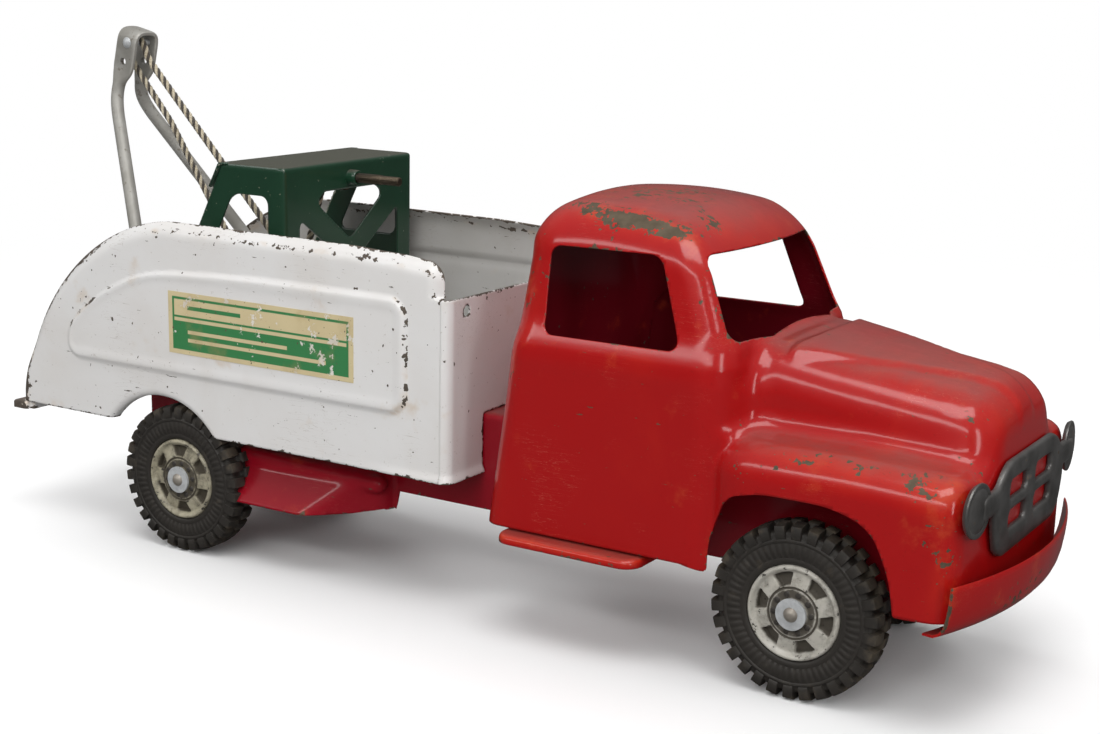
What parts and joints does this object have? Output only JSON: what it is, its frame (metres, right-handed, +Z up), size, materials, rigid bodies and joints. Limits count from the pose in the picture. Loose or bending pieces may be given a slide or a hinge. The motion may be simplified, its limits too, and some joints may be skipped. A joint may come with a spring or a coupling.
{
  "type": "toy crane truck",
  "caption": "Pressed-steel toy tow truck with a round cab, an open rear bed, a winch tower with a crank shaft, and a tilting A-frame boom with cord and hook.",
  "frame": {"origin": "on the ground, in the middle of the truck's length and width", "axes": "+X towards the front bumper, +Y towards the truck's left side, +Z up"},
  "size_m": [0.599, 0.17, 0.289],
  "materials": {
    "red_enamel": "gloss enamel, chipped and faded towards orange",
    "white_enamel": "gloss enamel, edge chips",
    "green_enamel": "gloss enamel, worn folds",
    "boom_aluminium": "satin, dull",
    "dark_steel": "dark semi-gloss plate",
    "bare_steel": "bare, browned",
    "zinc_plate": "bright zinc",
    "hub_enamel": "off-white enamel, grimy",
    "tyre_rubber": "dusty matte",
    "cord": "twisted cotton, cream and brown",
    "label": "printed transfer, cream and green"
  },
  "bodies": {
    "chassis": {"chassis_frame": "red_enamel", "front_axle_bracket": "red_enamel", "rear_axle_bracket": "red_enamel", "front_axle": "zinc_plate", "rear_axle": "zinc_plate", "axle_spacers": "zinc_plate", "axle_washers": "zinc_plate", "front_bumper": "red_enamel", "cab_shell": "red_enamel", "cab_back_panel": "red_enamel", "grille_headlights": "dark_steel", "right_step": "red_enamel", "left_step": "red_enamel", "bed_floor": "white_enamel", "bed_side_right": "white_enamel", "bed_side_left": "white_enamel", "bed_front_wall": "white_enamel", "rear_sill": "white_enamel", "right_label": "label", "left_label": "label", "bed_rivets": "white_enamel", "winch_tower": "green_enamel", "tower_rivets": "green_enamel", "shaft_bushing": "green_enamel", "shaft_hanger": "green_enamel", "winch_cord": "cord"},
    "wheel_rear_right": {"tyre_rear_right": "tyre_rubber", "hub_rear_right": "hub_enamel"},
    "wheel_rear_left": {"tyre_rear_left": "tyre_rubber", "hub_rear_left": "hub_enamel"},
    "wheel_front_right": {"tyre_front_right": "tyre_rubber", "hub_front_right": "hub_enamel"},
    "wheel_front_left": {"tyre_front_left": "tyre_rubber", "hub_front_left": "hub_enamel"},
    "crank": {"crank_shaft": "bare_steel", "winch_drum": "bare_steel"},
    "boom": {"boom_frame": "boom_aluminium", "boom_head_rivet": "zinc_plate", "hook_cord": "cord"},
    "hook": {"tow_hook": "bare_steel"}
  },
  "joints": [
    {"name": "wheel_rear_right_spin", "type": "hinge", "parent": "chassis", "child": "wheel_rear_right", "pos_m": [-0.17, 0, 0.042], "axis": [0, 1, 0], "continuous": true},
    {"name": "wheel_rear_left_spin", "type": "hinge", "parent": "chassis", "child": "wheel_rear_left", "pos_m": [-0.17, 0, 0.042], "axis": [0, 1, 0], "continuous": true},
    {"name": "wheel_front_right_spin", "type": "hinge", "parent": "chassis", "child": "wheel_front_right", "pos_m": [0.205, 0, 0.042], "axis": [0, 1, 0], "continuous": true},
    {"name": "wheel_front_left_spin", "type": "hinge", "parent": "chassis", "child": "wheel_front_left", "pos_m": [0.205, 0, 0.042], "axis": [0, 1, 0], "continuous": true},
    {"name": "crank_spin", "type": "hinge", "parent": "chassis", "child": "crank", "pos_m": [-0.1, 0, 0.2115], "axis": [1, 0, 0], "range_deg": [0, 800]},
    {"name": "boom_tilt", "type": "hinge", "parent": "chassis", "child": "boom", "pos_m": [-0.1905, 0, 0.117], "axis": [0, 1, 0], "range_deg": [-25, 20], "deforming": ["winch_cord"]},
    {"name": "hook_hoist", "type": "slide", "parent": "boom", "child": "hook", "axis": [-0.5936, 0, 0.8048], "range_m": [0, 0.112], "deforming": ["hook_cord"]}
  ],
  "couplings": [
    {"joint": "hook_hoist", "follows": "crank_spin", "m_per_rad": 0.008}
  ]
}
